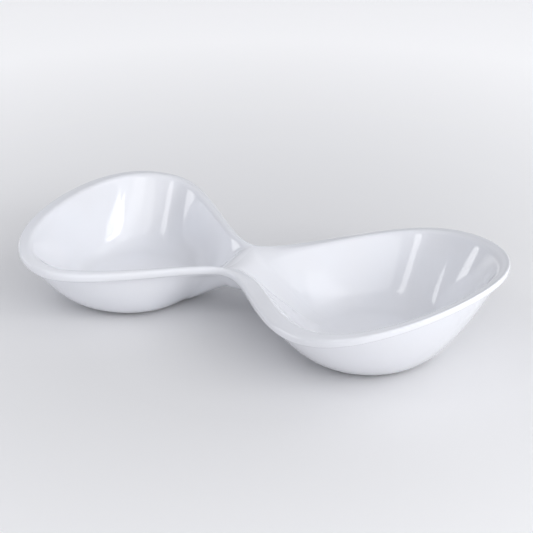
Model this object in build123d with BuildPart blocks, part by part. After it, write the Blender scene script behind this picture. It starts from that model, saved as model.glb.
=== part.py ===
from build123d import *
from math import atan2, cos, radians, sin
import os

# Figure-eight serving dish: a smaller dip bowl and a larger chip bowl share one wavy, everted rim
# and meet at a narrow arched waist. Millimetres, +Z up, the table at Z = 0, +X towards the chip
# bowl. The origin is under the middle of the dish's length.

# plan of the rim
dish_length = 356.0
dip_bowl_width = 188.0
chip_bowl_width = 192.0
waist_width = 47.0
waist_x = -21.0                # narrowest place
dip_wide_x = -126.0            # widest place of the dip bowl
chip_wide_x = 90.0             # widest place of the chip bowl

# fullness of the rim's curves: handle lengths as shares of the spans that they round
dip_end_fullness = (0.64, 0.61)
dip_neck_fullness = (0.29, 0.22)
chip_neck_fullness = (0.21, 0.45)
chip_end_fullness = (0.43, 0.44)

# height of the rim
low_rim_height = 43.0
low_rim_x = 0.0
dip_end_rise = 14.0
chip_end_rise = 34.0
dip_rise_power = 3
chip_rise_power = 2

# rim, walls and floors
rim_thickness = 6.0
rim_rounding = 2.2
rim_overhang = 5.0             # from the rim's edge in to the outer wall
rim_width = 10.0               # from the rim's edge in to the bowl's mouth
floor_thickness = 6.0
saddle_width = 12.0            # ridge between the two mouths
saddle_dip = 4.0               # the ridge's middle lies this far below the rim

# outer walls: straight lines from ovals on the table to the rim
dip_base_x = -105.0
dip_base_length = 112.0
dip_base_width = 126.0
chip_base_x = 86.0
chip_base_length = 98.0
chip_base_width = 98.0
waist_arch_height = 21.0       # clear height under the waist
waist_bridge_length = 26.0

# the walls are this thick, measured level, and turn into flat bottoms by a quarter round
wall_thickness = 6.0
outer_knuckle_reach = 12.0
outer_knuckle_height = 8.0
inner_knuckle_reach = 20.0
inner_knuckle_height = 11.0

# foot rings
foot_height = 1.5
foot_inset = 16.0              # from the base oval in to the ring
foot_ring_width = 5.0

dip_end_x = -dish_length / 2
chip_end_x = dish_length / 2
dip_base = (dip_base_x, dip_base_length, dip_base_width)
chip_base = (chip_base_x, chip_base_length, chip_base_width)
flare_height = low_rim_height + max(dip_end_rise, chip_end_rise) + 6.0
slab_depth = max(dip_bowl_width, chip_bowl_width) + 40.0
curve_steps = 5                # stations along each of the rim's curves
wave_steps = 12                # stations along the rim's height
knuckle_steps = 4


def rim_height(x):
    """Height of the rim's top above the table at a place along the dish."""
    if x < low_rim_x:
        share = (low_rim_x - x) / (low_rim_x - dip_end_x)
        return low_rim_height + dip_end_rise * share**dip_rise_power
    share = (x - low_rim_x) / (chip_end_x - low_rim_x)
    return low_rim_height + chip_end_rise * share**chip_rise_power


def rim_curves(inset):
    """The rim's four curves on the +Y side, from the dip end to the chip end, moved in."""
    dip_y = dip_bowl_width / 2 - inset
    chip_y = chip_bowl_width / 2 - inset
    waist_y = waist_width / 2 - inset
    dip_x = dip_end_x + inset
    chip_x = chip_end_x - inset
    dip_end_span = dip_wide_x - dip_x
    dip_neck_span = waist_x - dip_wide_x
    chip_neck_span = chip_wide_x - waist_x
    chip_end_span = chip_x - chip_wide_x
    dip_end = Bezier(
        (dip_x, 0),
        (dip_x, dip_end_fullness[0] * dip_y),
        (dip_wide_x - dip_end_fullness[1] * dip_end_span, dip_y),
        (dip_wide_x, dip_y),
    )
    dip_neck = Bezier(
        (dip_wide_x, dip_y),
        (dip_wide_x + dip_neck_fullness[0] * dip_neck_span, dip_y),
        (waist_x - dip_neck_fullness[1] * dip_neck_span, waist_y),
        (waist_x, waist_y),
    )
    chip_neck = Bezier(
        (waist_x, waist_y),
        (waist_x + chip_neck_fullness[0] * chip_neck_span, waist_y),
        (chip_wide_x - chip_neck_fullness[1] * chip_neck_span, chip_y),
        (chip_wide_x, chip_y),
    )
    chip_end = Bezier(
        (chip_wide_x, chip_y),
        (chip_wide_x + chip_end_fullness[0] * chip_end_span, chip_y),
        (chip_x, chip_end_fullness[1] * chip_y),
        (chip_x, 0),
    )
    return dip_end, dip_neck, chip_neck, chip_end


def bowl_edge(side, inset, closing_x, neck_share):
    """Stations round one bowl's edge. The neck is followed for a share of its length, and one
    more station closes the edge across the waist."""
    dip_end, dip_neck, chip_neck, chip_end = rim_curves(inset)
    shares = [i / curve_steps for i in range(curve_steps)]
    neck_shares = [neck_share * i / curve_steps for i in range(curve_steps + 1)]
    if side == "dip":
        upper = [dip_end @ share for share in shares]
        upper += [dip_neck @ share for share in neck_shares]
    else:
        upper = [chip_end @ (1 - share) for share in shares]
        upper += [chip_neck @ (1 - share) for share in neck_shares]
    lower = [Vector(point.X, -point.Y) for point in reversed(upper[1:])]
    return upper + [Vector(closing_x, 0)] + lower


def base_point(rim_point, base, inset):
    """Place on a bowl's base oval that faces a place on its edge."""
    centre_x, length, width = base
    turn = atan2(rim_point.Y / width, (rim_point.X - centre_x) / length)
    return Vector(centre_x + (length / 2 - inset) * cos(turn), (width / 2 - inset) * sin(turn))


def wall_section(edge, base, inset, drop, height, shrink):
    """Level section of the wall: straight lines run from the base oval to the edge."""
    points = []
    for rim_point in edge:
        foot = base_point(rim_point, base, inset)
        share = height / (rim_height(rim_point.X) - drop)
        place = foot + (rim_point - foot) * share
        inward = Vector(base[0], 0) - place
        points.append(place + inward.normalized() * shrink)
    with BuildSketch(Plane.XY.offset(height)) as section:
        with BuildLine():
            Spline(*points, periodic=True)
        make_face()
    return section.sketch


def make_bowl_form(edge, base, inset, drop, bottom, knuckle_reach, knuckle_height):
    """Solid with a flat bottom, a quarter-round knuckle and a straight wall flared past the rim."""
    sections = []
    for i in range(knuckle_steps + 1):
        turn = radians(90 * i / knuckle_steps)
        height = bottom + knuckle_height * (1 - cos(turn))
        shrink = knuckle_reach * (1 - sin(turn))
        sections.append(wall_section(edge, base, inset, drop, height, shrink))
    sections.append(wall_section(edge, base, inset, drop, flare_height, 0))
    with BuildPart() as form:
        loft(sections, ruled=True)
    return form.part


def make_wave_slab(top_drop, bottom_drop):
    """Everything between two waves that follow the rim's height, right across the dish."""
    margin = 10.0
    step = (dish_length + 2 * margin) / wave_steps
    places = [dip_end_x - margin + i * step for i in range(wave_steps + 1)]
    top = [(x, rim_height(x) - top_drop) for x in places]
    bottom = [(x, rim_height(x) - bottom_drop) for x in places]
    with BuildPart() as slab:
        with BuildSketch(Plane.XZ.offset(-slab_depth / 2)):
            with BuildLine():
                Spline(*top)
                Line(top[-1], bottom[-1])
                Spline(*bottom)
                Line(bottom[0], top[0])
            make_face()
        extrude(amount=slab_depth)
    return slab.part


def make_rim_plan():
    """The rim's outline, pulled straight up through its whole height."""
    with BuildPart() as plan:
        with BuildSketch():
            with BuildLine():
                dip_end, dip_neck, chip_neck, chip_end = rim_curves(0)
                add(dip_end)
                add(dip_neck)
                add(chip_neck)
                add(chip_end)
                mirror(about=Plane.XZ)
            make_face()
        extrude(amount=flare_height)
    return plan.part


# the outer wall crosses the waist at the arch's height on its way up to the closing station
wall_height_at_waist = low_rim_height - rim_thickness
dip_base_edge_x = dip_base_x + dip_base_length / 2
chip_base_edge_x = chip_base_x - chip_base_length / 2
arch_share = wall_height_at_waist / waist_arch_height
dip_closing_x = dip_base_edge_x + (waist_x - dip_base_edge_x) * arch_share
chip_closing_x = chip_base_edge_x + (waist_x - chip_base_edge_x) * arch_share

dip_outside = make_bowl_form(
    bowl_edge("dip", rim_overhang, dip_closing_x, 1.0),
    dip_base, 0, rim_thickness, foot_height, outer_knuckle_reach, outer_knuckle_height,
)
chip_outside = make_bowl_form(
    bowl_edge("chip", rim_overhang, chip_closing_x, 1.0),
    chip_base, 0, rim_thickness, foot_height, outer_knuckle_reach, outer_knuckle_height,
)
dip_inside = make_bowl_form(
    bowl_edge("dip", rim_width, waist_x - saddle_width / 2, 0.85),
    dip_base, wall_thickness, 0, floor_thickness, inner_knuckle_reach, inner_knuckle_height,
)
chip_inside = make_bowl_form(
    bowl_edge("chip", rim_width, waist_x + saddle_width / 2, 0.85),
    chip_base, wall_thickness, 0, floor_thickness, inner_knuckle_reach, inner_knuckle_height,
)
under_rim = make_wave_slab(rim_thickness, flare_height)
rim_slab = make_wave_slab(0, rim_thickness)
rim_plan = make_rim_plan()
bridge_start = Plane.YZ.offset(waist_x - waist_bridge_length / 2)
bridge_end = Plane.YZ.offset(waist_x + waist_bridge_length / 2)
waist_plane = Plane.YZ.offset(waist_x)

# dip bowl: the smaller bowl's wall and floor, up to the rim's underside
with BuildPart() as dip_bowl:
    add(dip_outside)
    add(under_rim, mode=Mode.INTERSECT)
    split(bisect_by=bridge_start, keep=Keep.BOTTOM)
    add(dip_inside, mode=Mode.SUBTRACT)
dip_bowl.part.label = "dip_bowl"

# chip bowl: the larger bowl's wall and floor, up to the rim's underside
with BuildPart() as chip_bowl:
    add(chip_outside)
    add(under_rim, mode=Mode.INTERSECT)
    split(bisect_by=bridge_end, keep=Keep.TOP)
    add(chip_inside, mode=Mode.SUBTRACT)
chip_bowl.part.label = "chip_bowl"

# waist bridge: the arched neck, where the two bowls' walls run into each other
with BuildPart() as dip_neck_side:
    add(dip_outside)
    split(bisect_by=waist_plane, keep=Keep.BOTTOM)
with BuildPart() as chip_neck_side:
    add(chip_outside)
    split(bisect_by=waist_plane, keep=Keep.TOP)
with BuildPart() as waist_bridge:
    add(dip_neck_side.part)
    add(chip_neck_side.part)
    add(under_rim, mode=Mode.INTERSECT)
    split(bisect_by=bridge_start, keep=Keep.TOP)
    split(bisect_by=bridge_end, keep=Keep.BOTTOM)
    add(dip_inside, mode=Mode.SUBTRACT)
    add(chip_inside, mode=Mode.SUBTRACT)
waist_bridge.part.label = "waist_bridge"

# rim flange: one closed band round both mouths, with the dipped saddle between them
saddle_radius = ((waist_width / 2) ** 2 + saddle_dip**2) / (2 * saddle_dip)
saddle_axis_height = low_rim_height - saddle_dip + saddle_radius
with BuildPart() as rim_flange:
    add(rim_plan)
    add(rim_slab, mode=Mode.INTERSECT)
    fillet(rim_flange.edges().filter_by(GeomType.LINE, reverse=True), rim_rounding)
    add(dip_inside, mode=Mode.SUBTRACT)
    add(chip_inside, mode=Mode.SUBTRACT)
    with BuildSketch(bridge_start):
        with Locations((0, saddle_axis_height)):
            Circle(saddle_radius)
    extrude(amount=waist_bridge_length, mode=Mode.SUBTRACT)
rim_flange.part.label = "rim_flange"

# foot rings: bare rings under the two bowls
with BuildPart() as dip_foot_ring:
    with BuildSketch():
        with Locations((dip_base_x, 0)):
            Ellipse(dip_base_length / 2 - foot_inset, dip_base_width / 2 - foot_inset)
            Ellipse(
                dip_base_length / 2 - foot_inset - foot_ring_width,
                dip_base_width / 2 - foot_inset - foot_ring_width,
                mode=Mode.SUBTRACT,
            )
    extrude(amount=foot_height)
dip_foot_ring.part.label = "dip_foot_ring"

with BuildPart() as chip_foot_ring:
    with BuildSketch():
        with Locations((chip_base_x, 0)):
            Ellipse(chip_base_length / 2 - foot_inset, chip_base_width / 2 - foot_inset)
            Ellipse(
                chip_base_length / 2 - foot_inset - foot_ring_width,
                chip_base_width / 2 - foot_inset - foot_ring_width,
                mode=Mode.SUBTRACT,
            )
    extrude(amount=foot_height)
chip_foot_ring.part.label = "chip_foot_ring"

os.makedirs("parts", exist_ok=True)
for piece in (dip_bowl, chip_bowl, waist_bridge, rim_flange, dip_foot_ring, chip_foot_ring):
    size = piece.part.bounding_box().size
    print(piece.part.label, round(size.X), "x", round(size.Y), "x", round(size.Z), "mm")
    export_step(piece.part, f"parts/{piece.part.label}.step")
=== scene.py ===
import math

import bmesh
import bpy
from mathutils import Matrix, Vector
from mathutils.geometry import interpolate_bezier


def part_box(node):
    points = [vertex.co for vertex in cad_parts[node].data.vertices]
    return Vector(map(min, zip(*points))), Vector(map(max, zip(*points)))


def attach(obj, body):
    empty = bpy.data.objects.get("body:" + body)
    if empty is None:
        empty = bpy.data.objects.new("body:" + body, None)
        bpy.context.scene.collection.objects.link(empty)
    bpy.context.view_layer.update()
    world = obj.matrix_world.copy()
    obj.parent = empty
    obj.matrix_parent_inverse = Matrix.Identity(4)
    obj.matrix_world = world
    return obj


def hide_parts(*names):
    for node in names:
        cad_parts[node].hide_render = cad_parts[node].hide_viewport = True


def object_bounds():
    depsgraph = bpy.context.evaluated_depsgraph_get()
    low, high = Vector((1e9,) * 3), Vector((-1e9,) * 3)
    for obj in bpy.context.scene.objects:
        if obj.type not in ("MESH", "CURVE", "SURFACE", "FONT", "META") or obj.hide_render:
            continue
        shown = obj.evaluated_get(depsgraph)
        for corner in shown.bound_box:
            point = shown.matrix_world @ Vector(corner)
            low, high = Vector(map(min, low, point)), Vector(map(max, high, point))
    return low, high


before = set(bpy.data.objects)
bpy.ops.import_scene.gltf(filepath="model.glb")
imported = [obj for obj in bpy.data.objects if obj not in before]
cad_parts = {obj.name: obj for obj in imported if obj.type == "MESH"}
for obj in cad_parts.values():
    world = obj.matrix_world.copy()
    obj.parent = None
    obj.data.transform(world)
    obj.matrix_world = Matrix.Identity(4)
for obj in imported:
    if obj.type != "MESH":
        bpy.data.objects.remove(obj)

# Chip and dip server in glossy white porcelain: two bowls, one wavy everted rim, one narrow waist.
# Metres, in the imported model's own frame: +X runs towards the chip bowl and the table is at z 0.

cadLow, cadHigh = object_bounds()
bridgeLow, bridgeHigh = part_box("waist_bridge")
dipFootLow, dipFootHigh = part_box("dip_foot_ring")
chipFootLow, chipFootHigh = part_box("chip_foot_ring")

dish = {
    "waistX": (bridgeLow.x + bridgeHigh.x) / 2,
    "waistHalf": 0.0235,            # half the dish's width at the waist
    "lowRim": 0.043,                # rim height where it is lowest
    "lowRimX": 0.0,
    "rimThickness": 0.006,
    "rimTopRounding": 0.0026,
    "rimBottomRounding": 0.0022,
    "rimOverhang": 0.0042,          # from the rim's edge in to the outer wall
    "saddleHalf": 0.0075,           # from the waist to each mouth
    "saddleDip": 0.0035,
    "saddleSpread": 0.016,
    "archHeight": 0.0195,           # clear height under the waist
    "neckShare": 0.22,              # share of a bowl's edge that the waist's arch shapes
    "saddleShare": 0.13,            # and that its softer saddle shapes
    "saddleRounding": 0.0075,
    "wallRounding": (0.0012, 0.0016),   # where the outer wall meets the rim: along the rim, down the wall
    "fadeShare": 0.3,               # share of a bowl's edge over which the mouth's shape eases in
    "mouthSoftening": 16,           # passes along each mouth's edge near the waist
    "footHeight": dipFootHigh.z,
    "floorHeight": 0.0062,
    "archStations": 60,             # stations from a bowl's end to the waist
    "crowding": 1.3,                # over 1 sets them closer together towards the waist
    "waistStations": 8,             # stations from the waist's edge to its middle
    "curveSamples": 160,
    "rimSpans": (5, 4, 3),          # rings round the rim's top edge, its lower edge and the wall's start
    "topSpans": (3, 6, 7, 8, 4),    # rings on the rim's top, the mouth, the wall, its foot and the floor
    "underSpans": (22, 3),          # rings down the outer wall and across the flat base
    "middleHole": 0.002,            # radius of the last ring, before it is closed to a point
    "rimShell": 0,                  # number of the first ring of each shell
    "topShell": 100,
    "underShell": 200,
    "shellRings": 100,              # no shell has more rings than this
    "softening": (("topShell", 0.020, 4, 6), ("underShell", 0.048, 1, 16)),     # reach, first ring, passes
    "softenAbove": 0.004,           # the flat base is left as it is
    "weld": 0.00002,
    "subdivision": 1,
}

dipBowl = {
    "endX": cadLow.x,
    "wideX": -0.1259,               # widest place
    "half": 0.094,
    "endRise": 0.014,               # rim height at the end, above its lowest
    "risePower": 3,
    "endHandles": (0.644, 0.607),   # how full the rim's curves are
    "neckHandles": (0.291, 0.220),
    "baseX": -0.1076,
    "base": (0.0575, 0.0647),       # the outer wall heads for this oval, half length and half width
    "flat": (0.042, 0.047),         # and turns into this flat one
    "floorX": -0.105,
    "floor": (0.047, 0.047),        # the inner wall's foot
    "rimWidth": (0.0080, 0.0025),   # mean width of the rim's top, and how much more at the -X side
    "rimDroop": (0.0012, 0.0012),   # the mouth stands this much above the rim's edge
    "mouthRounding": 0.0030,
    "floorTurn": (0.013, 0.015),    # how far floor and wall round into each other
    "baseTurn": (0.45, 0.90),       # how far wall and base run on before they turn, as shares
    "archReach": 0.014,
}

chipBowl = {
    "endX": cadHigh.x,
    "wideX": 0.0904,
    "half": 0.096,
    "endRise": 0.034,
    "risePower": 2,
    "endHandles": (0.439, 0.434),
    "neckHandles": (0.448, 0.211),
    "baseX": 0.0862,
    "base": (0.0562, 0.0610),
    "flat": (0.0405, 0.0439),
    "floorX": 0.086,
    "floor": (0.044, 0.044),
    "rimWidth": (0.0095, 0.0020),
    "rimDroop": (0.0012, 0.0018),
    "mouthRounding": 0.0030,
    "floorTurn": (0.013, 0.016),
    "baseTurn": (0.66, 0.40),
    "archReach": 0.022,
}


def smoothStep(t):
    t = min(1.0, max(0.0, t))
    return t * t * (3 - 2 * t)


def mix(a, b, share):
    return a + (b - a) * share


def rimHeight(x):
    low = dish["lowRimX"]
    bowl = dipBowl if x < low else chipBowl
    share = (x - low) / (bowl["endX"] - low)
    return dish["lowRim"] + bowl["endRise"] * share ** bowl["risePower"]


def saddleSag(x, y):
    # the rim's top sinks between the two mouths, most in the middle of the waist
    along = math.exp(-((x - dish["waistX"]) / dish["saddleSpread"]) ** 2)
    across = max(0.0, 1 - (y / dish["waistHalf"]) ** 2)
    return dish["saddleDip"] * along * across ** 1.5


def outlineStations(bowl, count):
    # places on the rim's edge, from the bowl's end to the waist, with outward directions
    waistX, waistHalf = dish["waistX"], dish["waistHalf"]
    end = Vector((bowl["endX"], 0, 0))
    wide = Vector((bowl["wideX"], bowl["half"], 0))
    waist = Vector((waistX, waistHalf, 0))
    endSpan = wide.x - end.x
    neckSpan = waist.x - wide.x
    steps = dish["curveSamples"]
    endCurve = interpolate_bezier(
        end,
        end + Vector((0, bowl["endHandles"][0] * bowl["half"], 0)),
        wide - Vector((bowl["endHandles"][1] * endSpan, 0, 0)),
        wide, steps)
    neckCurve = interpolate_bezier(
        wide,
        wide + Vector((bowl["neckHandles"][0] * neckSpan, 0, 0)),
        waist - Vector((bowl["neckHandles"][1] * neckSpan, 0, 0)),
        waist, steps)
    path = endCurve + neckCurve[1:]
    lengths = [0.0]
    for a, b in zip(path, path[1:]):
        lengths.append(lengths[-1] + (b - a).length)
    side = -1 if bowl["endX"] > waistX else 1
    places, outward = [], []
    j = 0
    for i in range(count + 1):
        wanted = lengths[-1] * (1 - (1 - i / count) ** dish["crowding"])
        while j < len(path) - 2 and lengths[j + 1] < wanted:
            j += 1
        share = (wanted - lengths[j]) / (lengths[j + 1] - lengths[j])
        places.append(path[j].lerp(path[j + 1], share))
        before = path[max(0, j - 1)]
        after = path[min(len(path) - 1, j + 2)]
        along = (after - before).normalized()
        outward.append(Vector((-along.y, along.x, 0)) * side)
    outward[0] = Vector((-side, 0, 0))
    outward[-1] = Vector((0, 1, 0))
    return places, outward


# A station is one place on a bowl's edge, or on the waist between its two edges. Each station has
# three paths: over the top to the floor's middle, round the rim's edge, and under to the base's middle.

def stationsOf(bowl):
    # the +Y side from the end to the waist, then across the waist, then the -Y side back
    count = dish["archStations"]
    places, outward = outlineStations(bowl, count)
    near = [{"edge": place, "out": out, "across": None, "fromWaist": (1 - i / count) ** dish["crowding"]}
            for i, (place, out) in enumerate(zip(places, outward))]
    turns = 2 * dish["waistStations"]
    crossing = [{"across": math.pi * i / turns, "fromWaist": 0.0} for i in range(1, turns)]
    flip = Vector((1, -1, 1))
    far = [{**s, "edge": s["edge"] * flip, "out": s["out"] * flip} for s in reversed(near[1:])]
    return near + crossing + far


def towards(start, goal, reach):
    return start + (goal - start).normalized() * reach


def straight(a, b, spans):
    return [a.lerp(b, i / spans) for i in range(1, spans + 1)]


def rounded(before, corner, after, reachIn, reachOut, spans):
    start = towards(corner, before, reachIn)
    stop = towards(corner, after, reachOut)
    shares = [i / spans for i in range(spans + 1)]
    return [start * (1 - t) ** 2 + corner * (2 * t * (1 - t)) + stop * t ** 2 for t in shares]


def ovalPoint(centreX, halves, facing, height):
    turn = math.atan2(facing.y / halves[1], (facing.x - centreX) / halves[0])
    return Vector((centreX + halves[0] * math.cos(turn), halves[1] * math.sin(turn), height))


def leaning(bowl, pair, place):
    # a mean value and how much more of it there is at the -X side of the bowl
    reach = Vector((place.x - bowl["wideX"], place.y))
    return pair[0] - pair[1] * reach.normalized().x


def topHeight(place):
    return rimHeight(place.x) - saddleSag(place.x, place.y)


def mouthLoop(bowl, side, stations):
    # the mouth's edge, softened where it turns across the waist
    loop = []
    for s in stations:
        if s["across"] is None:
            loop.append(s["edge"] - s["out"] * leaning(bowl, bowl["rimWidth"], s["edge"]))
        else:
            y = (dish["waistHalf"] - bowl["rimWidth"][0]) * math.cos(s["across"])
            loop.append(Vector((dish["waistX"] + side * dish["saddleHalf"], y, 0)))
    for _ in range(dish["mouthSoftening"]):
        before = [place.copy() for place in loop]
        for i, s in enumerate(stations):
            soft = 0.5 * smoothStep(1 - s["fromWaist"] / dish["fadeShare"])
            loop[i] = before[i].lerp((before[i - 1] + before[(i + 1) % len(loop)]) / 2, soft)
    for place, s in zip(loop, stations):
        raised = leaning(bowl, bowl["rimDroop"], place) * smoothStep(s["fromWaist"] / dish["fadeShare"])
        place.z = topHeight(place) + raised
    return loop


def topPath(bowl, start, mouth, nearSaddle):
    floorCentre = Vector((bowl["floorX"], 0, dish["floorHeight"]))
    knuckle = ovalPoint(bowl["floorX"], bowl["floor"], mouth, dish["floorHeight"])
    reach = mix(bowl["mouthRounding"], dish["saddleRounding"], nearSaddle)
    onRim = min(reach, 0.85 * (start - mouth).length)       # a narrow rim keeps some of its flat top
    rimSpans, mouthSpans, wallSpans, footSpans, floorSpans = dish["topSpans"]
    atMouth = rounded(start, mouth, knuckle, onRim, reach, mouthSpans)
    atFloor = rounded(mouth, knuckle, floorCentre, bowl["floorTurn"][1], bowl["floorTurn"][0], footSpans)
    path = [start] + straight(start, atMouth[0], rimSpans) + atMouth[1:]
    path += straight(atMouth[-1], atFloor[0], wallSpans) + atFloor[1:]
    return path + straight(atFloor[-1], towards(floorCentre, atFloor[-1], dish["middleHole"]), floorSpans)


def underPath(bowl, side, start, nearWaist):
    # one curve from under the rim to the base's flat middle; at the waist it sets off level
    corner = ovalPoint(bowl["baseX"], bowl["base"], start, dish["footHeight"])
    flatEdge = ovalPoint(bowl["baseX"], bowl["flat"], start, dish["footHeight"])
    baseCentre = Vector((bowl["baseX"], 0, dish["footHeight"]))
    downWall = start.lerp(corner, bowl["baseTurn"][0])
    level = start + Vector((side * bowl["archReach"], 0, 0))
    wallPoints, baseSpans = dish["underSpans"]
    curve = interpolate_bezier(start, downWall.lerp(level, nearWaist),
                               flatEdge.lerp(corner, bowl["baseTurn"][1]), flatEdge, wallPoints)
    return curve + straight(curve[-1], towards(baseCentre, flatEdge, dish["middleHole"]), baseSpans)


def bowlPaths(bowl):
    side = 1 if bowl["endX"] > dish["waistX"] else -1
    stations = stationsOf(bowl)
    mouths = mouthLoop(bowl, side, stations)
    topRound, bottomRound = dish["rimTopRounding"], dish["rimBottomRounding"]
    wallHalf = dish["waistHalf"] - dish["rimOverhang"]
    alongRim, downWall = dish["wallRounding"]
    wallZ = rimHeight(dish["waistX"]) - dish["rimThickness"] - downWall
    topPaths, rimPaths, underPaths = [], [], []
    for s, mouth in zip(stations, mouths):
        nearWaist = smoothStep(1 - s["fromWaist"] / dish["neckShare"])
        nearSaddle = smoothStep(1 - s["fromWaist"] / dish["saddleShare"])
        if s["across"] is None:
            edge = s["edge"].copy()
            edge.z = rimHeight(edge.x)
            start = edge - s["out"] * topRound
            risen = smoothStep(s["fromWaist"] / dish["fadeShare"]) * topRound / (edge - mouth).length
            start.z = mix(topHeight(start), mouth.z, risen)
            lower = edge - Vector((0, 0, dish["rimThickness"]))
            wallTop = lower - s["out"] * dish["rimOverhang"]
            base = ovalPoint(bowl["baseX"], bowl["base"], wallTop, dish["footHeight"])
            below = base.lerp(wallTop - Vector((0, 0, 1)), nearWaist)
            topSpans, lowerSpans, wallSpans = dish["rimSpans"]
            atTop = rounded(start, edge, lower, topRound, topRound, topSpans)
            atTop[0] = start
            atLower = rounded(edge, lower, wallTop, bottomRound, bottomRound, lowerSpans)
            atWall = rounded(lower, wallTop, below, alongRim, downWall, wallSpans)
            rimPaths.append(atTop + atLower + atWall)
            underStart = rimPaths[-1][-1]
        else:
            start = Vector((dish["waistX"], (dish["waistHalf"] - topRound) * math.cos(s["across"]), 0))
            start.z = topHeight(start)
            depth = wallZ - dish["archHeight"]
            underStart = Vector((dish["waistX"], wallHalf * math.cos(s["across"]),
                                 wallZ - depth * math.sin(s["across"])))
        topPaths.append(topPath(bowl, start, mouth, nearSaddle))
        underPaths.append(underPath(bowl, side, underStart, nearWaist))
    return topPaths, rimPaths, underPaths


def ringsOf(paths):
    return [[path[i] for path in paths] for i in range(len(paths[0]))]


def loftRings(mesh, rings, firstNumber):
    # a circle takes the first ring's shape, and each further ring is extruded from the last one
    station = mesh.verts.layers.int["station"]
    number = mesh.verts.layers.int["ring"]
    made = bmesh.ops.create_circle(mesh, cap_ends=False, radius=1, segments=len(rings[0]))["verts"]
    loop = sorted(made, key=lambda vert: math.atan2(vert.co.y, vert.co.x))
    edges = list({edge for vert in loop for edge in vert.link_edges})
    for i, vert in enumerate(loop):
        vert[station] = i
        vert[number] = firstNumber
        vert.co = rings[0][i]
    for i, ring in enumerate(rings[1:], firstNumber + 1):
        made = bmesh.ops.extrude_edge_only(mesh, edges=edges)["geom"]
        loop = [part for part in made if isinstance(part, bmesh.types.BMVert)]
        edges = [part for part in made if isinstance(part, bmesh.types.BMEdge)]
        for vert in loop:
            vert[number] = i
            vert.co = ring[vert[station]]
    return loop


def loftToMiddle(mesh, rings, firstNumber):
    loop = loftRings(mesh, rings, firstNumber)
    middle = sum((vert.co for vert in loop), Vector()) / len(loop)
    bmesh.ops.pointmerge(mesh, verts=loop, merge_co=middle)


def softenWaist(mesh):
    # both shells are eased where they cross the waist, and the rim's band is left crisp
    number = mesh.verts.layers.int["ring"]
    for shell, spread, firstRing, passes in dish["softening"]:
        chosen = [vert for vert in mesh.verts
                  if dish[shell] + firstRing <= vert[number] < dish[shell] + dish["shellRings"]
                  and abs(vert.co.x - dish["waistX"]) < spread and vert.co.z > dish["softenAbove"]]
        for _ in range(passes):
            bmesh.ops.smooth_vert(mesh, verts=chosen, factor=0.5, use_axis_x=True, use_axis_y=True,
                                  use_axis_z=True)


def newPiece(name, mesh, material, levels):
    bmesh.ops.recalc_face_normals(mesh, faces=mesh.faces)
    for face in mesh.faces:
        face.smooth = True
    data = bpy.data.meshes.new(name)
    mesh.to_mesh(data)
    mesh.free()
    data.materials.append(material)
    piece = bpy.data.objects.new(name, data)
    bpy.context.scene.collection.objects.link(piece)
    if levels:
        finish = piece.modifiers.new("finish", "SUBSURF")
        finish.levels = levels
        finish.render_levels = levels
    return piece


def makeDishBody(material):
    mesh = bmesh.new()
    mesh.verts.layers.int.new("station")
    mesh.verts.layers.int.new("ring")
    sides = []
    for bowl in (dipBowl, chipBowl):
        topPaths, rimPaths, underPaths = bowlPaths(bowl)
        loftToMiddle(mesh, ringsOf(topPaths), dish["topShell"])
        loftToMiddle(mesh, ringsOf(underPaths), dish["underShell"])
        turn = dish["archStations"]
        sides.append((rimPaths[:turn + 1], rimPaths[turn + 1:]))
    (dipNear, dipFar), (chipNear, chipFar) = sides
    # one band goes round both bowls: +Y side out to the chip bowl's end, -Y side back
    around = dipNear + chipNear[-2::-1] + chipFar[::-1] + dipFar[1:]
    loftRings(mesh, ringsOf(around), dish["rimShell"])
    bmesh.ops.remove_doubles(mesh, verts=mesh.verts, dist=dish["weld"])
    softenWaist(mesh)
    return newPiece("dishBody", mesh, material, dish["subdivision"])


# Foot rings, ground flat and left unglazed.
footRing = {
    "width": 0.005,
    "sunk": 0.0004,                 # how far a ring runs up into the glazed base
    "edgeRounding": 0.0005,
    "roundingShare": 0.3,           # the rounding's middle point lies this far in from its corner
    "segments": 96,
    "weld": 0.00001,
}


def makeFootRing(name, low, high, material):
    middle = (low + high) / 2
    halves = (high - low) / 2
    rounding = footRing["edgeRounding"]
    width = footRing["width"]
    corner = footRing["roundingShare"] * rounding
    top = high.z + footRing["sunk"]
    section = [(0, top), (0, low.z + rounding), (corner, low.z + corner), (rounding, low.z),
               (width - rounding, low.z), (width - corner, low.z + corner), (width, low.z + rounding),
               (width, top)]
    mesh = bmesh.new()
    mesh.verts.layers.int.new("station")
    mesh.verts.layers.int.new("ring")
    segments = footRing["segments"]
    turns = [2 * math.pi * i / segments for i in range(segments)]
    rings = [[Vector((middle.x + (halves.x - inset) * math.cos(turn),
                      (halves.y - inset) * math.sin(turn), z)) for turn in turns]
             for inset, z in section + section[:1]]
    loftRings(mesh, rings, 0)
    bmesh.ops.remove_doubles(mesh, verts=mesh.verts, dist=footRing["weld"])
    return newPiece(name, mesh, material, 0)


# Materials. Noise scales are per metre of the dish itself, each with its level of detail.
glaze = {
    "colour": (0.855, 0.868, 0.912),
    "warmColour": (0.848, 0.856, 0.892),
    "clouds": (22, 3),              # where the warmer colour shows through
    "roughness": (0.055, 0.10),
    "patches": (60, 4),             # where the gloss is lower
    "ior": 1.52,
    "coat": 0.35,
    "coatRoughness": 0.03,
    "waves": (38, 1),
    "waviness": (0.05, 0.004),      # strength and height
    "peel": (520, 2),
    "orangePeel": (0.012, 0.001),
}

clay = {
    "colour": (0.80, 0.775, 0.73),
    "darkColour": (0.66, 0.63, 0.58),
    "speckles": (900, 5),
    "roughness": 0.82,
    "grit": (2200, 3),
    "grain": (0.35, 0.0003),        # strength and height
}


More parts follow.
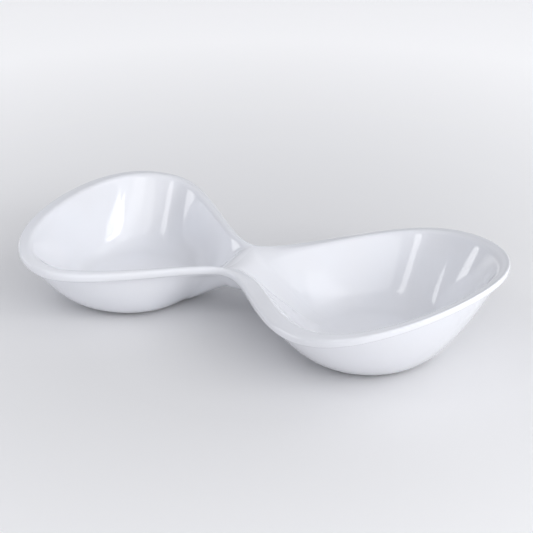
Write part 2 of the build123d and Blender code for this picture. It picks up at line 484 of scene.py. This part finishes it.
def startMaterial(name):
    material = bpy.data.materials.new(name)
    material.use_nodes = True
    nodes = material.node_tree.nodes
    nodes.clear()
    output = nodes.new("ShaderNodeOutputMaterial")
    shader = nodes.new("ShaderNodeBsdfPrincipled")
    place = nodes.new("ShaderNodeTexCoord")
    material.node_tree.links.new(shader.outputs["BSDF"], output.inputs["Surface"])
    return material, nodes, material.node_tree.links, shader, place


def addNoise(nodes, links, place, scale, detail):
    noise = nodes.new("ShaderNodeTexNoise")
    noise.inputs["Scale"].default_value = scale
    noise.inputs["Detail"].default_value = detail
    links.new(place.outputs["Object"], noise.inputs["Vector"])
    return noise.outputs["Fac"]


def addRange(nodes, links, source, low, high, toLow, toHigh):
    spread = nodes.new("ShaderNodeMapRange")
    spread.inputs["From Min"].default_value = low
    spread.inputs["From Max"].default_value = high
    spread.inputs["To Min"].default_value = toLow
    spread.inputs["To Max"].default_value = toHigh
    links.new(source, spread.inputs["Value"])
    return spread.outputs["Result"]


def addBump(nodes, links, height, strength, distance, under=None):
    bump = nodes.new("ShaderNodeBump")
    bump.inputs["Strength"].default_value = strength
    bump.inputs["Distance"].default_value = distance
    links.new(height, bump.inputs["Height"])
    if under:
        links.new(under, bump.inputs["Normal"])
    return bump.outputs["Normal"]


def addColours(nodes, links, share, first, second):
    blend = nodes.new("ShaderNodeMix")
    blend.data_type = "RGBA"
    blend.inputs[6].default_value = (*first, 1)             # colour sockets A and B
    blend.inputs[7].default_value = (*second, 1)
    links.new(share, blend.inputs[0])
    return blend.outputs[2]


def makeGlaze():
    material, nodes, links, shader, place = startMaterial("whiteGlaze")
    shader.inputs["IOR"].default_value = glaze["ior"]
    shader.inputs["Coat Weight"].default_value = glaze["coat"]
    shader.inputs["Coat Roughness"].default_value = glaze["coatRoughness"]
    cloudy = addNoise(nodes, links, place, *glaze["clouds"])
    tone = addRange(nodes, links, cloudy, 0.35, 0.65, 0, 1)
    links.new(addColours(nodes, links, tone, glaze["colour"], glaze["warmColour"]),
              shader.inputs["Base Color"])
    patchy = addNoise(nodes, links, place, *glaze["patches"])
    links.new(addRange(nodes, links, patchy, 0.3, 0.7, *glaze["roughness"]), shader.inputs["Roughness"])
    wavy = addNoise(nodes, links, place, *glaze["waves"])
    peel = addNoise(nodes, links, place, *glaze["peel"])
    swell = addBump(nodes, links, wavy, *glaze["waviness"])
    links.new(addBump(nodes, links, peel, *glaze["orangePeel"], swell), shader.inputs["Normal"])
    return material


def makeClay():
    material, nodes, links, shader, place = startMaterial("bareClay")
    shader.inputs["Roughness"].default_value = clay["roughness"]
    speckle = addNoise(nodes, links, place, *clay["speckles"])
    share = addRange(nodes, links, speckle, 0.35, 0.7, 0, 1)
    links.new(addColours(nodes, links, share, clay["colour"], clay["darkColour"]),
              shader.inputs["Base Color"])
    grit = addNoise(nodes, links, place, *clay["grit"])
    links.new(addBump(nodes, links, grit, *clay["grain"]), shader.inputs["Normal"])
    return material


# Studio: a pale floor that runs far back under a pale sky and glows, which is painted light: not at all by
# the dish and near white far off. Large soft lights at the right, the left and above, and three small ones
# (window, strip and left) for the glaze's highlights.
studio = {
    "floorHalf": 6.0,
    "floorColour": (0.80, 0.80, 0.81),
    "floorShade": 0.985,            # the floor's darker patches, as a share of its colour
    "floorClouds": (1.5, 2),
    "floorRoughness": 0.75,
    "floorSpecular": 0.2,
    "floorGlow": (0.0, 0.42),       # painted light: how strongly the floor glows near the dish and far from it; the far floor glows near white, the floor by the dish not at all
    "floorGlowReach": (0.14, 0.62),
    "sky": (0.93, 0.945, 1.0),
    "skyStrength": 0.44,
    "lights": {                     # turn from the front, height above the table, distance, size
        "key": {"turn": 52, "height": 40, "away": 1.7, "size": (2.2, 1.5), "power": 9.0},
        "side": {"turn": 86, "height": 18, "away": 1.6, "size": (1.3, 0.7), "power": 7.8},
        "right": {"turn": 112, "height": 42, "away": 1.6, "size": (1.4, 1.0), "power": 3.2},
        "top": {"turn": 0, "height": 84, "away": 1.6, "size": (1.6, 1.6), "power": 1.6},
        "low": {"turn": -72, "height": 15, "away": 1.6, "size": (0.9, 0.55), "power": 3.6},
        "window": {"turn": 98, "height": 28, "away": 1.6, "size": (0.36, 0.28), "power": 1.2},
        "strip": {"turn": -24, "height": 56, "away": 1.6, "size": (0.26, 0.40), "power": 0.85},
        "left": {"turn": -109, "height": 6, "away": 1.6, "size": (0.26, 0.20), "power": 0.32},
    },
    "aim": (0.0, 0.0, 0.03),
}

view = {
    "place": (0.4644, -0.8518, 0.5313),
    "aim": (0.0046, -0.0064, 0.0440),
    "lens": 103.07,
    "sensor": 36,
}


def makeFloor():
    material, nodes, links, shader, place = startMaterial("floorPaintAndGlow")
    floorColour = studio["floorColour"]
    shader.inputs["Roughness"].default_value = studio["floorRoughness"]
    shader.inputs["Specular IOR Level"].default_value = studio["floorSpecular"]
    shader.inputs["Emission Color"].default_value = (*floorColour, 1)
    # painted light: the floor glows in its own colour, not at all by the dish and more the farther off, up
    # to near white
    distance = nodes.new("ShaderNodeVectorMath")
    distance.operation = "LENGTH"
    links.new(place.outputs["Object"], distance.inputs[0])
    near, far = studio["floorGlowReach"]
    glow = addRange(nodes, links, distance.outputs["Value"], near, far, *studio["floorGlow"])
    links.new(glow, shader.inputs["Emission Strength"])
    cloudy = addNoise(nodes, links, place, *studio["floorClouds"])
    shade = [part * studio["floorShade"] for part in floorColour]
    links.new(addColours(nodes, links, cloudy, floorColour, shade), shader.inputs["Base Color"])
    mesh = bmesh.new()
    bmesh.ops.create_grid(mesh, x_segments=1, y_segments=1, size=studio["floorHalf"])
    floor = newPiece("floor", mesh, material, 0)


def turnTowards(thing, place, aim):
    thing.location = place
    thing.rotation_euler = (Vector(aim) - Vector(place)).to_track_quat("-Z", "Y").to_euler()


def makeLight(name, light):
    data = bpy.data.lights.new(name, "AREA")
    data.shape = "RECTANGLE"
    data.size, data.size_y = light["size"]
    data.energy = light["power"]
    lamp = bpy.data.objects.new(name, data)
    bpy.context.scene.collection.objects.link(lamp)
    turn, height = math.radians(light["turn"]), math.radians(light["height"])
    level = math.cos(height) * light["away"]
    place = Vector((math.sin(turn) * level, -math.cos(turn) * level, math.sin(height) * light["away"]))
    turnTowards(lamp, place + Vector(studio["aim"]), studio["aim"])


def makeStudio():
    for name, light in studio["lights"].items():
        makeLight(name, light)
    world = bpy.data.worlds.new("paleSky")
    world.use_nodes = True
    sky = world.node_tree.nodes["Background"]
    sky.inputs["Color"].default_value = (*studio["sky"], 1)
    sky.inputs["Strength"].default_value = studio["skyStrength"]
    bpy.context.scene.world = world
    bpy.context.scene.view_settings.view_transform = "Standard"


def makeCamera():
    data = bpy.data.cameras.new("camera")
    data.lens = view["lens"]
    data.sensor_width = view["sensor"]
    camera = bpy.data.objects.new("camera", data)
    bpy.context.scene.collection.objects.link(camera)
    turnTowards(camera, view["place"], view["aim"])
    bpy.context.scene.camera = camera


makeCamera()
makeStudio()
makeFloor()
print("studio and camera ready")

whiteGlaze = makeGlaze()
bareClay = makeClay()
print("materials ready")

body = makeDishBody(whiteGlaze)
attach(body, "root")
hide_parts("dip_bowl", "chip_bowl", "waist_bridge", "rim_flange")
print("casting ready:", len(body.data.polygons), "faces before its finish")

for name, node, (low, high) in (("dipFoot", "dip_foot_ring", (dipFootLow, dipFootHigh)),
                                ("chipFoot", "chip_foot_ring", (chipFootLow, chipFootHigh))):
    ring = makeFootRing(name, low, high, bareClay)
    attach(ring, "root")
    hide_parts(node)
print("foot rings ready")
